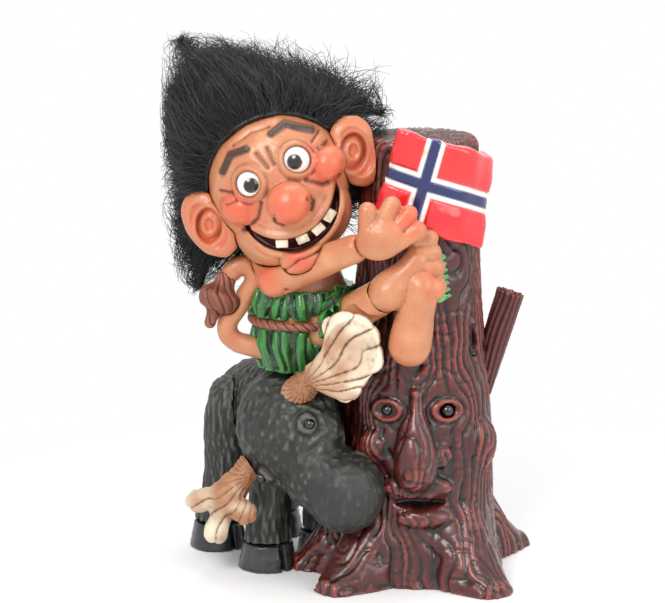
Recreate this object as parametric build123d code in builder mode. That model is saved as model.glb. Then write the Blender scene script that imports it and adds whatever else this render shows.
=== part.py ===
# Troll figure: a fur-haired troll rides a moose beside a tree stump with a carved face.
# Painted resin castings, glued together. Millimetres, +Z up, the front towards -Y.
# The origin lies on the ground, under the axis of the stump.
import os
from math import atan2, cos, degrees, radians, sin
from build123d import *

os.makedirs("parts", exist_ok=True)

# Clearance of a glued seam, and what cutting forms overrun
glue_gap = 0.25
overrun = 6.0
# A ball is turned before it is stretched, so that no two seams of its surface lie on each other
ball_turn = (20, 35, 50)
troll_ball_turn = (5, 50, 20)

# Stump
trunk_height = 168.0
trunk_radius = 28.0
trunk_profile_shares = (
    (0.0, 1.20), (0.06, 1.12), (0.16, 1.06), (0.30, 1.03),
    (0.42, 0.98), (0.60, 0.88), (0.80, 0.82), (1.0, 0.80),
)
crown_round = 4.0
root_turns = (184, 228, 305.5, 34, 110)
root_reach_shares = (0.74, 1.0, 0.95, 0.92, 0.72)
root_reach = 20.5
root_width = 13.0
root_height = 28.0
root_section_shares = ((-0.9, 1.30, 1.80), (-0.1, 1.10, 1.0), (0.45, 0.82, 0.45), (0.85, 0.58, 0.20))

# Carved face of the stump
face_turn = 267.0
stump_eye_radius = 2.4
stump_eye_turns = (243.5, 292.5)
stump_eye_height = 67.5
stump_nose_height = 46.0
stump_nose_length = 28.0
stump_nose_radius = 8.2
stump_lip_height = 38.5
stump_lip_width = 14.0
stump_lip_depth = 5.5
stump_chin_height = 26.5
stump_cheek_turns = (330, 232)
stump_cheek_height = 52.0
stump_cheek_radius = 9.0
knot_radius = 3.0
knot_turn = 325.0
knot_height = 92.0

# Branch stub
branch_height = 68.0
branch_length = 40.0
branch_radius = 5.4
branch_turn = 4.0
branch_lean = 17.0
branch_notch = 4.0

# Flag, wrapped round the stump
flag_hoist = 33.0
flag_fly = 46.0
flag_thickness = 4.2
flag_relief = 0.8
flag_tilt = 17.0
flag_turn = 272.0
flag_height = 153.0
flag_cross_share = 0.32
flag_band = 7.6

# Fern sprig on the stump
fern_turn = 310.0
fern_height = 117.0
fern_length = 17.0
fern_lean = 24.0
fern_stem = 0.8
leaflet_length = 5.2
leaf_thickness = 1.2
leaflet_pairs = 7

# Moose
moose_turn = 162.0
moose_standoff = 9.2
moose_heading = -54.0
moose_length = 62.0
moose_width = 37.0
moose_depth = 41.0
moose_back = 79.0
front_leg_ahead = 13.5
hind_leg_behind = 21.0
leg_track = 15.5
far_leg_track = 12.0
leg_radius = 9.4
leg_top_radius = 12.5
hoof_height = 10.5
hoof_radius = 11.6
hoof_top_radius = 9.8
hoof_cleft = 1.6
moose_head_ahead = 31.5
moose_head_aside = 14.3
moose_head_height = 52.0
moose_head_length = 62.0
moose_head_width = 43.0
moose_head_depth = 32.0
muzzle_direction = (0.57, -0.49, -0.66)
forehead_direction = (-0.578, -0.809, 0.101)
muzzle_radius = 16.0
moose_eye_radius = 2.0
antler_palm_width = 27.5
antler_palm_height = 34.0
antler_palm_direction = (-0.15, -0.97, 0.12)
antler_thickness = 7.5
antler_stalk_radius = 5.2
antler_lobe_radius = 4.8
antler_reach = 44.0

# Troll
seat_ahead = 20.9
seat_aside = 5.3
torso_width = 34.0
torso_depth = 33.0
torso_height = 50.0
head_width = 52.0
head_depth = 48.0
head_height = 60.0
head_roll = 27.0
head_lift = 71.0
head_left = 6.0
head_forward = 9.0
nose_radius = 8.4
eye_radius = 5.0
eye_spacing = 18.7
cheek_radius = 8.0
mouth_depth = 3.2
mouth_open = 6.0
mouth_width = 38.0
tooth_width = 4.6
tooth_height = 3.4
ear_length = 28.0
ear_width = 20.0
ear_thickness = 9.0
arm_radius = 6.2
hand_radius = 9.5
finger_radius = 3.4
leg_thickness = 7.5
foot_length = 33.0
foot_radius = 8.0
big_toe_radius = 4.9
toe_radius = 3.8
tail_reach = 31.0
tail_radius = 3.9
tuft_length = 20.0
tuft_radius = 7.6

# Clothes
skirt_width = 40.0
skirt_depth = 36.0
skirt_drop = 17.0
ruffle_height = 11.0
skirt_fold = 1.0
skirt_folds = 14
belt_height = 19.5
belt_radius = 1.7

# Hair
hide_thickness = 1.6
fur_height = 70.0
fur_depth = 40.0
fur_width = 56.0
lock_radius = 14.0


# Shared forms

def compass(turn):
    return Vector(cos(radians(turn)), sin(radians(turn)), 0)


def egg(place, along, across, up, turn=ball_turn):
    ball = Sphere(1, rotation=turn, mode=Mode.PRIVATE)
    return place * scale(ball, by=(along, across, up), mode=Mode.PRIVATE)


def limb(start, end, *radii):
    # A turned limb with domed ends; the radii are evenly spaced from start to end.
    start = Vector(start)
    reach = Vector(end) - start
    length = reach.length
    last = len(radii) - 1
    points = [(radius, length * place / last) for place, radius in enumerate(radii)]
    with BuildPart(mode=Mode.PRIVATE) as turned:
        with BuildSketch(Plane.XZ):
            with BuildLine():
                near = CenterArc((0, 0), radii[0], start_angle=270, arc_size=90)
                Spline(*points, tangents=((0, 1), (0, 1)))
                far = CenterArc((0, length), radii[-1], start_angle=0, arc_size=90)
                Line(far @ 1, near @ 0)
            make_face()
        revolve(axis=Axis.Z)
    return Plane(origin=start, z_dir=reach).location * turned.part


def join(forms):
    for form in forms:
        add(form, clean=False)


def clear(forms):
    for form in forms:
        add(form, mode=Mode.SUBTRACT, clean=False)


def at(base, x, y, z):
    # The place of a point given in the axes of a frame.
    return (base * Location((x, y, z))).position


# Forms of the stump

def trunk_radius_at(height):
    share = height / trunk_height
    for (low, low_radius), (high, high_radius) in zip(trunk_profile_shares, trunk_profile_shares[1:]):
        if share <= high:
            way = (share - low) / (high - low)
            return trunk_radius * (low_radius + (high_radius - low_radius) * way)
    return trunk_radius * trunk_profile_shares[-1][1]


def on_trunk(turn, height, out=0.0):
    return compass(turn) * (trunk_radius_at(height) + out) + Vector(0, 0, height)


def trunk_frame(turn, height, out=0.0):
    # x along the bark, y into the stump, z up.
    return Plane(origin=on_trunk(turn, height, out), x_dir=compass(turn + 90), z_dir=(0, 0, 1)).location


def trunk_core(grow=0.0):
    points = [(trunk_radius * radius + grow, trunk_height * height)
              for height, radius in trunk_profile_shares]
    with BuildPart(mode=Mode.PRIVATE) as core:
        with BuildSketch(Plane.XZ):
            with BuildLine():
                bark = Spline(*points)
                Polyline(bark @ 1, (0, trunk_height), (0, 0), bark @ 0)
            make_face()
        revolve(axis=Axis.Z)
        if grow:
            rim = core.faces().sort_by(Axis.Z)[-1]
            extrude(rim, amount=overrun)
        else:
            fillet(core.edges().sort_by(Axis.Z)[-1], radius=crown_round)
    return core.part


def root(turn, reach_share, grow=0.0):
    outward = compass(turn)
    foot_radius = trunk_radius * trunk_profile_shares[0][1]
    reach = root_reach * reach_share
    with BuildPart(mode=Mode.PRIVATE) as spread:
        for place, width, height in root_section_shares:
            centre = outward * (foot_radius + reach * place)
            with BuildSketch(Plane(origin=centre, x_dir=compass(turn + 90), z_dir=outward)):
                with BuildLine():
                    arch = EllipticalCenterArc(
                        (0, 0), root_width * width + grow, root_height * height + grow,
                        start_angle=0, arc_size=180)
                    Line(arch @ 1, arch @ 0)
                make_face()
        loft()
        place, width, height = root_section_shares[-1]
        tip = Plane(origin=outward * (foot_radius + reach * place), x_dir=outward, z_dir=(0, 0, 1))
        add(egg(tip.location, reach * (1 - place) + grow, root_width * width + grow,
                root_height * height + grow))
        split(bisect_by=Plane.XY, keep=Keep.TOP)
    return spread.part


def stump_forms(grow=0.0):
    return [trunk_core(grow)] + [root(*pair, grow) for pair in zip(root_turns, root_reach_shares)]


def bead(place, radius):
    return egg(Location(place), radius, radius, radius)


def stump_eye_place(turn):
    return on_trunk(turn, stump_eye_height, -stump_eye_radius / 3)


def carved_face(grow=0.0):
    nose_top = on_trunk(face_turn, stump_nose_height + stump_nose_length)
    nose_end = on_trunk(face_turn, stump_nose_height, stump_nose_radius / 4)
    nostril = trunk_frame(face_turn + 21, stump_nose_height + stump_nose_radius / 2, -1)
    right_cheek, left_cheek = (
        trunk_frame(turn, stump_cheek_height, -stump_cheek_radius / 2) for turn in stump_cheek_turns)
    upper_lip = trunk_frame(face_turn + 1, stump_lip_height, -stump_lip_depth / 4)
    lower_lip = trunk_frame(face_turn + 7, stump_chin_height, -stump_lip_depth / 2)
    small, large, lip = stump_nose_radius / 2, stump_cheek_radius, stump_lip_depth
    return [
        limb(nose_top, nose_end, small * 0.6 + grow, small * 1.1 + grow, small * 1.8 + grow, small * 2 + grow),
        egg(nostril, small + grow, small + grow, small * 1.2 + grow),
        egg(right_cheek, large + grow, large + grow, large * 1.3 + grow),
        egg(left_cheek, large * 0.8 + grow, large * 0.9 + grow, large + grow),
        egg(upper_lip, stump_lip_width + grow, lip + grow, lip + grow),
        egg(lower_lip, stump_lip_width * 0.8 + grow, lip + grow, lip * 0.8 + grow),
    ]


# Stump: trunk, roots and carved face
stump_shape = stump_forms()
face_shape = carved_face()
eye_sockets = [bead(stump_eye_place(turn), stump_eye_radius + glue_gap) for turn in stump_eye_turns]
mouth_slot = egg(
    trunk_frame(face_turn + 4, (stump_lip_height + stump_chin_height) / 2),
    stump_lip_width * 0.8, stump_lip_depth, (stump_lip_height - stump_chin_height) / 6)
knot_hole = egg(trunk_frame(knot_turn, knot_height), knot_radius, knot_radius * 1.6, knot_radius * 2.2)
with BuildPart() as stump_trunk:
    join(stump_shape)
    clear(eye_sockets)
    join(face_shape)
    clear([mouth_slot, knot_hole])
stump_trunk.part.label = "stump_trunk"
export_step(stump_trunk.part, "parts/stump_trunk.step")


# Stump: branch stub with a broken end
branch_foot = on_trunk(branch_turn, branch_height, -branch_radius)
branch_way = compass(branch_turn) * sin(radians(branch_lean)) + Vector(0, 0, cos(radians(branch_lean)))
branch_shape = limb(branch_foot, branch_foot + branch_way * branch_length,
                    branch_radius, branch_radius, branch_radius * 1.1)
branch_break = Plane(origin=branch_foot + branch_way * branch_length,
                     x_dir=compass(branch_turn), z_dir=compass(branch_turn + 90))
with BuildPart() as stump_branch:
    add(branch_shape)
    with BuildSketch(branch_break):
        with Locations((-branch_radius / 4, branch_radius / 4)):
            Triangle(a=branch_radius * 2, b=branch_radius * 2, c=branch_radius * 2, rotation=180)
    extrude(amount=branch_radius * 2, both=True, mode=Mode.SUBTRACT)
    add(trunk_core(glue_gap), mode=Mode.SUBTRACT)
stump_branch.part.label = "stump_branch"
export_step(stump_branch.part, "parts/stump_branch.step")


# Stump: bead eyes
with BuildPart() as stump_eye_left:
    with Locations(stump_eye_place(stump_eye_turns[1])):
        Sphere(stump_eye_radius)
stump_eye_left.part.label = "stump_eye_left"
export_step(stump_eye_left.part, "parts/stump_eye_left.step")

with BuildPart() as stump_eye_right:
    with Locations(stump_eye_place(stump_eye_turns[0])):
        Sphere(stump_eye_radius)
stump_eye_right.part.label = "stump_eye_right"
export_step(stump_eye_right.part, "parts/stump_eye_right.step")


# Flag
flag_inner = trunk_radius_at(flag_height - flag_hoist / 2 - flag_fly * sin(radians(flag_tilt))) + glue_gap
flag_outer = flag_inner + flag_thickness


def flag_point(along, up):
    # Along the fly and up the hoist from the crossing, as seen from the front.
    tilt = radians(flag_tilt)
    bend = radians(flag_turn - 270) + (along * cos(tilt) + up * sin(tilt)) / flag_outer
    return flag_outer * sin(bend), flag_height + up * cos(tilt) - along * sin(tilt)


def flag_field(low_along, high_along, low_up, high_up):
    # The part of the flag between two places along the fly and up the hoist.
    corners = ((low_along, low_up), (high_along, low_up), (high_along, high_up), (low_along, high_up))
    with BuildPart(mode=Mode.PRIVATE) as field:
        with BuildSketch(Plane.XZ):
            with BuildLine():
                for (x, z), (next_x, next_z) in zip(corners, corners[1:] + corners[:1]):
                    middle = ((x + next_x) / 2, (z + next_z) / 2)
                    Spline(flag_point(x, z), flag_point(*middle), flag_point(next_x, next_z))
            make_face()
        extrude(amount=flag_outer + overrun)
    return field.part


hoist_side = -flag_fly * flag_cross_share
fly_side = flag_fly + hoist_side
flag_cloth = flag_field(hoist_side, fly_side, -flag_hoist / 2, flag_hoist / 2)
flag_quarters = [
    flag_field(*run, *rise)
    for run in ((hoist_side, -flag_band / 2), (flag_band / 2, fly_side))
    for rise in ((-flag_hoist / 2, -flag_band / 2), (flag_band / 2, flag_hoist / 2))
]
flag_ring_height = trunk_height + flag_hoist
with BuildPart() as flag_reds:
    Cylinder(flag_outer, flag_ring_height, align=(Align.CENTER, Align.CENTER, Align.MIN))
    add(flag_quarters, mode=Mode.INTERSECT)
with BuildPart() as flag:
    Cylinder(flag_outer - flag_relief, flag_ring_height, align=(Align.CENTER, Align.CENTER, Align.MIN))
    add(flag_cloth, mode=Mode.INTERSECT)
    add(flag_reds.part)
    Cylinder(flag_inner, flag_ring_height, align=(Align.CENTER, Align.CENTER, Align.MIN), mode=Mode.SUBTRACT)
flag.part.label = "flag"
export_step(flag.part, "parts/flag.step")


# Fern sprig: a toothed blade, bent round the bark
def fern_edge(side):
    # Tips and notches of the leaflets up one side of the stem.
    step = fern_length / leaflet_pairs
    points = []
    for pair in range(leaflet_pairs):
        low = step * (pair - leaflet_pairs / 2)
        length = leaflet_length * (1 - 0.5 * pair / leaflet_pairs)
        points += [(side * fern_stem, low), (side * length, low + step * 0.9),
                   (side * length * 0.8, low + step * 1.3)]
    return points


fern_outline = fern_edge(1) + [(0, fern_length * 0.6)] + fern_edge(-1)[::-1]
fern_plane = Plane(x_dir=compass(fern_turn + 90), z_dir=compass(fern_turn), origin=(0, 0, fern_height))
with BuildPart() as fern_sprig:
    with BuildSketch(fern_plane.rotated((0, 0, -fern_lean))):
        with BuildLine():
            Polyline(*fern_outline, close=True)
        make_face()
    extrude(amount=trunk_radius + overrun)
    add(trunk_core(glue_gap + leaf_thickness), mode=Mode.INTERSECT)
    add(trunk_core(glue_gap), mode=Mode.SUBTRACT)
fern_sprig.part.label = "fern_sprig"
export_step(fern_sprig.part, "parts/fern_sprig.step")


# Forms of the moose
moose_place = compass(moose_turn) * (trunk_radius + moose_width / 2 + moose_standoff)
moose_frame = Location(moose_place, (0, 0, moose_heading))
moose_middle = moose_back - moose_depth / 2
head_place = at(moose_frame, moose_head_ahead, -moose_head_aside, moose_head_height)
moose_head_frame = Plane(origin=head_place, x_dir=muzzle_direction, z_dir=forehead_direction).location


def moose_body_forms(grow=0.0):
    half_width = moose_width / 2
    shoulder = moose_frame * Location((moose_length / 4, 0, moose_middle + glue_gap))
    rump = moose_frame * Location((-moose_length / 4, 0, moose_middle - moose_depth / 20))
    nape = at(moose_frame, moose_length / 5, -half_width / 6, moose_middle + moose_depth / 20)
    throat = at(moose_head_frame, -moose_head_length / 6, 0, -moose_head_depth * 0.45)
    return [
        egg(moose_frame * Location((0, 0, moose_middle)),
            moose_length / 2 + grow, half_width + grow, moose_depth * 0.49 + grow),
        egg(shoulder, half_width * 0.9 + grow, half_width * 0.95 + grow, moose_depth / 2 + grow),
        egg(rump, half_width * 0.9 + grow, half_width * 0.92 + grow, moose_depth * 0.45 + grow),
        limb(nape, throat, half_width * 0.85 + grow, moose_head_depth * 0.45 + grow),
    ]


def moose_head_forms(grow=0.0):
    # x runs down the muzzle, y to the raised antler, z out of the forehead.
    length, width, depth = moose_head_length, moose_head_width, moose_head_depth
    head = moose_head_frame
    return [
        egg(head * Location((-length * 0.1, 0, -depth * 0.06)),
            length * 0.4 + grow, width / 2 + grow, depth / 2 + grow),
        egg(head * Location((length * 0.18, 0, -depth * 0.04)),
            length * 0.34 + grow, width * 0.34 + grow, depth * 0.42 + grow),
        egg(head * Location((length * 0.41, muzzle_radius * 0.15, -depth * 0.12)),
            muzzle_radius + grow, muzzle_radius + grow, muzzle_radius * 0.9 + grow),
    ]


def leg_forms(ahead, aside, slant, grow=0.0):
    foot = at(moose_frame, ahead, aside, hoof_height)
    knee = at(moose_frame, ahead + slant / 2, aside, moose_middle * 0.6)
    top = at(moose_frame, ahead + slant, aside * 0.7, moose_middle)
    return limb(foot, top, leg_radius + grow, leg_radius * 0.92 + grow,
                (leg_radius + leg_top_radius) / 2 + grow, leg_top_radius + grow)


def hoof(ahead, aside):
    place = moose_frame * Location((ahead, aside, hoof_height / 2))
    with BuildPart(mode=Mode.PRIVATE) as horn:
        with Locations(place):
            Cone(hoof_radius, hoof_top_radius, hoof_height)
        with Locations(place * Location((hoof_radius, 0, 0))):
            Box(hoof_radius, hoof_cleft, hoof_height, mode=Mode.SUBTRACT)
    return horn.part


# Moose: body with neck
trunk_seat = trunk_core(glue_gap)
near_roots = [root(turn, share, glue_gap) for turn, share in list(zip(root_turns, root_reach_shares))[:2]]
nose_seat, _, _, *near_face = carved_face(glue_gap)
with BuildPart() as moose_body:
    join(moose_body_forms())
    clear([trunk_seat])
moose_body.part.label = "moose_body"
export_step(moose_body.part, "parts/moose_body.step")

with BuildPart() as moose_body_seat:
    join(moose_body_forms(glue_gap))

# Moose: head, with sockets for the bead eyes
moose_head_shape = moose_head_forms()
moose_eye_places = [
    at(moose_head_frame, moose_head_length * 0.03, side * moose_head_width * 0.37, moose_head_depth * 0.28)
    for side in (1, -1)
]
moose_eye_sockets = [bead(place, moose_eye_radius + glue_gap) for place in moose_eye_places]
with BuildPart() as moose_head:
    join(moose_head_shape)
    clear(moose_eye_sockets)
    clear([moose_body_seat.part, trunk_seat, nose_seat, near_roots[1]] + near_face)
moose_head.part.label = "moose_head"
export_step(moose_head.part, "parts/moose_head.step")

with BuildPart() as moose_head_seat:
    join(moose_head_forms(glue_gap))

# Moose: legs and hooves
leg_places = {
    "front_right": (front_leg_ahead, -leg_track, 0),
    "front_left": (front_leg_ahead, far_leg_track, 0),
    "hind_right": (-hind_leg_behind, -leg_track, leg_radius * 0.8),
    "hind_left": (-hind_leg_behind, far_leg_track, leg_radius * 0.8),
}
for name, (ahead, aside, slant) in leg_places.items():
    leg_shape = leg_forms(ahead, aside, slant)
    hoof_shape = hoof(ahead, aside)
    with BuildPart() as leg:
        add(leg_shape)
        split(bisect_by=Plane.XY.offset(hoof_height + glue_gap), keep=Keep.TOP)
        clear([moose_body_seat.part, moose_head_seat.part, trunk_seat] + near_roots)
    leg.part.label = "moose_leg_" + name
    export_step(leg.part, f"parts/moose_leg_{name}.step")
    with BuildPart() as horn:
        add(hoof_shape)
        clear([trunk_seat] + near_roots)
    horn.part.label = "moose_hoof_" + name
    export_step(horn.part, f"parts/moose_hoof_{name}.step")

for side, place in zip(("left", "right"), moose_eye_places):
    with BuildPart() as moose_eye:
        with Locations(place):
            Sphere(moose_eye_radius)
    moose_eye.part.label = "moose_eye_" + side
    export_step(moose_eye.part, f"parts/moose_eye_{side}.step")


# Moose: antlers
palm_outline_shares = (
    (-0.64, -0.10), (-0.44, 0.02), (-0.34, 0.18), (-0.36, 0.40), (-0.12, 0.52), (0.35, 0.38),
    (0.45, 0.12), (0.44, -0.08), (0.28, -0.20), (0.17, -0.36), (0.0, -0.47), (-0.17, -0.43),
    (-0.48, -0.31),
)
palm_place = at(moose_head_frame, -moose_head_length * 0.085, antler_reach, moose_head_depth * 0.17)
palm_plane = Plane(origin=palm_place, x_dir=(1, -0.15, 0), z_dir=antler_palm_direction)
stalk_start = at(moose_head_frame, -moose_head_length * 0.2, moose_head_width * 0.36, moose_head_depth * 0.12)
stalk_end = at(palm_plane.location, -antler_palm_width * 0.42, -antler_palm_height * 0.16, 0)
stalk_shape = limb(stalk_start, stalk_end, antler_stalk_radius * 1.2, antler_stalk_radius,
                   antler_thickness * 0.45)
palm_swell = egg(palm_plane.location, antler_palm_width * 0.62, antler_palm_height * 0.6,
                 antler_thickness * 0.6)
palm_dish = egg(
    palm_plane.location * Location((antler_palm_width * 0.04, antler_palm_height * 0.1, antler_thickness / 2)),
    antler_palm_width * 0.36, antler_palm_height * 0.34, antler_thickness * 0.55)
antler_seat = [
    egg(palm_plane.location, antler_palm_width * 0.62 + glue_gap, antler_palm_height * 0.6 + glue_gap,
        antler_thickness * 0.6 + glue_gap),
    limb(stalk_start, stalk_end, antler_stalk_radius * 1.2 + glue_gap, antler_stalk_radius + glue_gap,
         antler_thickness * 0.45 + glue_gap),
]
with BuildPart() as moose_antler_left:
    with BuildSketch(palm_plane):
        with BuildLine():
            Spline(*[(antler_palm_width * x, antler_palm_height * y) for x, y in palm_outline_shares],
                   periodic=True)
        make_face()
    extrude(amount=antler_thickness / 2, both=True)
    add(palm_swell, mode=Mode.INTERSECT)
    clear([palm_dish])
    join([stalk_shape])
    clear([moose_head_seat.part, moose_body_seat.part])
moose_antler_left.part.label = "moose_antler_left"
export_step(moose_antler_left.part, "parts/moose_antler_left.step")

# The drooping antler: a hub and three blunt lobes, in shares of the reach
hub_share = (-0.05, -0.74, 0.28)
lobe_shares = ((-0.20, -0.93, 0.36), (0.11, -1.0, 0.31), (0.18, -0.65, 0.29))
hub = at(moose_head_frame, *[antler_reach * share for share in hub_share])
lobe_tips = [at(moose_head_frame, *[antler_reach * share for share in shares]) for shares in lobe_shares]
droop_start = at(moose_head_frame, -moose_head_length * 0.12, -moose_head_width * 0.36, moose_head_depth * 0.1)
droop_shapes = [limb(droop_start, hub, antler_stalk_radius, antler_stalk_radius, antler_stalk_radius * 1.3)]
droop_shapes += [limb(hub, tip, antler_lobe_radius * 1.25, antler_lobe_radius, antler_lobe_radius)
                 for tip in lobe_tips]
near_leg_seat = leg_forms(*leg_places["front_right"], glue_gap)
with BuildPart() as moose_antler_right:
    join(droop_shapes)
    clear([near_leg_seat, moose_head_seat.part, moose_body_seat.part])
moose_antler_right.part.label = "moose_antler_right"
export_step(moose_antler_right.part, "parts/moose_antler_right.step")


# Forms of the troll
seat = at(moose_frame, seat_ahead, -seat_aside, moose_back)
troll_frame = Location(seat)
head_frame = Location(seat + Vector(-head_left, -head_forward, head_lift), (0, -head_roll, 0))


def torso_forms(grow=0.0):
    belly = troll_frame * Location((torso_width * 0.03, 0, torso_height * 0.5))
    return [
        egg(belly, torso_width / 2 + grow, torso_depth / 2 + grow, torso_height / 2 + grow,
            troll_ball_turn),
    ]


def skull(grow=0.0):
    return egg(head_frame * Location((0, 0, head_height * 0.06)),
               head_width / 2 + grow, head_depth / 2 + grow, head_height * 0.46 + grow, troll_ball_turn)


def jaw(grow=0.0):
    return egg(head_frame * Location((-head_width * 0.03, -head_depth * 0.08, -head_height * 0.2)),
               head_width * 0.44 + grow, head_depth * 0.4 + grow, head_height * 0.28 + grow, troll_ball_turn)


def eye_place(side):
    return at(head_frame, eye_spacing * (0.06 + side / 2), -head_depth * 0.4, head_height * 0.15)


def chin(grow=0.0):
    place = head_frame * Location((-head_width * 0.08, -head_depth * 0.36, -head_height * 0.4))
    return egg(place, nose_radius + grow, nose_radius * 0.8 + grow, nose_radius * 0.7 + grow, troll_ball_turn)


def face_forms():
    nose = head_frame * Location((nose_radius * 0.2, -head_depth * 0.56, -head_height * 0.045))
    cheeks = [head_frame * Location((nose_radius * 0.2 + side * head_width * 0.33, -head_depth * 0.28,
                                     head_height * 0.04)) for side in (-1, 1)]
    return ([egg(cheek, cheek_radius, cheek_radius, cheek_radius * 0.9, troll_ball_turn) for cheek in cheeks]
            + [chin(), egg(nose, nose_radius, nose_radius * 0.95, nose_radius * 0.9, troll_ball_turn)])


def ear_forms(side, grow=0.0):
    place = head_frame * Location((side * (head_width / 2 + ear_width * 0.22), -head_depth * 0.06, 0),
                                  (0, side * 6, side * 18))
    return egg(place, ear_width / 2 + grow, ear_thickness / 2 + grow, ear_length / 2 + grow, troll_ball_turn)


def ear_bowl(side):
    place = head_frame * Location(
        (side * (head_width / 2 + ear_width * 0.26), -head_depth * 0.06 - ear_thickness * 0.5, 0),
        (0, side * 6, side * 18))
    return egg(place, ear_width * 0.33, ear_thickness * 0.5, ear_length * 0.37, troll_ball_turn)


# Troll: torso
with BuildPart() as troll_torso:
    join(torso_forms())
    clear([moose_body_seat.part, moose_head_seat.part, trunk_seat])
troll_torso.part.label = "troll_torso"
export_step(troll_torso.part, "parts/troll_torso.step")
torso_seat = torso_forms(glue_gap)

# Troll: head with the mouth cut out and sockets for the eyes
def head_core(grow):
    with BuildPart(mode=Mode.PRIVATE) as core:
        join([skull(grow), jaw(grow)])
    return core.part


smile_shares = ((-0.47, -0.05), (-0.06, -0.26), (0.52, -0.07))
mouth_plane = Plane(head_frame * Location((0, 0, 0), (90, 0, 0)))
with BuildPart() as mouth:
    with BuildSketch(mouth_plane):
        with BuildLine():
            smile = ThreePointArc(*[(mouth_width * x, head_height * y) for x, y in smile_shares])
            drop = ThreePointArc(smile @ 0, smile @ 0.5 - Vector(0, mouth_open), smile @ 1)
        make_face()
    extrude(amount=head_depth)
    clear([head_core(-mouth_depth)])
eye_sockets = [bead(eye_place(side), eye_radius + glue_gap) for side in (-1, 1)]
with BuildPart() as troll_head:
    join([skull(), jaw()])
    clear(torso_seat)
    join(face_forms())
    clear(eye_sockets)
    clear([mouth.part])
troll_head.part.label = "troll_head"
export_step(troll_head.part, "parts/troll_head.step")

for name, side in (("left", 1), ("right", -1)):
    with BuildPart() as troll_eye:
        with Locations(eye_place(side)):
            Sphere(eye_radius)
    troll_eye.part.label = "troll_eye_" + name
    export_step(troll_eye.part, f"parts/troll_eye_{name}.step")

    pinna, bowl, flank, face_flank = ear_forms(side), ear_bowl(side), skull(glue_gap), jaw(glue_gap)
    with BuildPart() as troll_ear:
        add(pinna)
        clear([bowl, flank, face_flank, trunk_seat])
    troll_ear.part.label = "troll_ear_" + name
    export_step(troll_ear.part, f"parts/troll_ear_{name}.step")

# Troll: teeth, standing in the mouth
tooth_shares = (0.33, 0.48, 0.61, 0.73)
with BuildPart() as troll_teeth:
    with BuildSketch(mouth_plane):
        for share in tooth_shares:
            hang = Location(smile @ share, degrees(atan2((smile % share).Y, (smile % share).X)))
            with Locations(hang * Location((0, -tooth_height / 2 - glue_gap))):
                Rectangle(tooth_width, tooth_height)
    extrude(amount=head_depth)
    add(head_core(-mouth_depth / 6), mode=Mode.INTERSECT)
    clear([head_core(glue_gap - mouth_depth)])
troll_teeth.part.label = "troll_teeth"
export_step(troll_teeth.part, "parts/troll_teeth.step")

# Forms of the limbs
foot_frame = trunk_frame(268, seat.Z + foot_length * 0.46)


def foot_forms(grow=0.0):
    heel = at(foot_frame, -foot_radius * 0.35, -foot_radius * 0.85, 0)
    ball = at(foot_frame, foot_radius * 0.1, -foot_radius * 0.8, foot_length * 0.66)
    ankle = at(foot_frame, -foot_radius * 1.4, -foot_radius * 0.95, foot_length * 0.6)
    top = at(foot_frame, -foot_radius * 0.1, -foot_radius * 0.75, foot_length * 0.95)
    return [
        limb(heel, ball, foot_radius + grow, foot_radius * 0.88 + grow, foot_radius * 0.9 + grow),
        limb(ankle, top, foot_radius * 0.9 + grow, foot_radius * 0.7 + grow, foot_radius * 0.6 + grow),
    ]


def toe_forms(grow=0.0):
    big_start = at(foot_frame, foot_radius * 0.2, -foot_radius * 0.85, foot_length * 0.64)
    big_end = at(foot_frame, foot_radius * 0.72, -foot_radius * 0.8, foot_length * 0.66)
    toes = [limb(big_start, big_end, big_toe_radius + grow, big_toe_radius + grow)]
    for number, rise in enumerate((0.88, 1.05, 1.2)):
        size = toe_radius * (1 - 0.06 * number) + grow
        start = at(foot_frame, 0, -foot_radius * 0.7, foot_length * rise)
        end = at(foot_frame, foot_radius * (0.78 - 0.12 * number), -foot_radius * 0.7, foot_length * rise)
        toes.append(limb(start, end, size, size))
    return toes


hip = at(troll_frame, torso_width * 0.15, -torso_depth * 0.2, torso_height * 0.26)
ankle = at(foot_frame, -foot_radius * 1.4, -foot_radius * 0.95, foot_length * 0.6)
hand_place = at(foot_frame, -foot_radius * 1.7, -foot_radius * 1.75, foot_length * 1.25)
elbow = at(troll_frame, -torso_width * 0.27, -torso_depth * 0.53, torso_height * 0.74)
shoulder = at(troll_frame, -torso_width * 0.35, -torso_depth * 0.15, torso_height * 0.88)
wrist = hand_place + (elbow - hand_place) * 0.24


def leg_form(grow=0.0):
    return limb(hip, ankle, leg_thickness * 1.15 + grow, leg_thickness + grow, leg_thickness * 0.9 + grow)


def arm_forms(grow=0.0):
    return [
        limb(shoulder, elbow, arm_radius * 1.05 + grow, arm_radius + grow),
        limb(elbow, wrist, arm_radius + grow, arm_radius * 0.98 + grow, arm_radius * 0.85 + grow),
    ]


def hand_forms(grow=0.0):
    palm = Plane(origin=hand_place, x_dir=hand_place - elbow, z_dir=(0, -1, 0)).location
    roots = ((0.2, 0.4), (0.35, 0.0), (0.3, -0.45), (-0.35, 0.5))
    tips = ((0.95, 0.95), (1.35, 0.35), (1.4, -0.35), (0.0, 1.15))
    fingers = [
        limb(at(palm, hand_radius * x, hand_radius * y, 0),
             at(palm, hand_radius * tip_x, hand_radius * tip_y, -finger_radius / 4),
             finger_radius + grow, finger_radius + grow)
        for (x, y), (tip_x, tip_y) in zip(roots, tips)
    ]
    return [egg(palm, hand_radius + grow, hand_radius * 0.85 + grow, finger_radius * 1.5 + grow,
                troll_ball_turn)] + fingers


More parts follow.
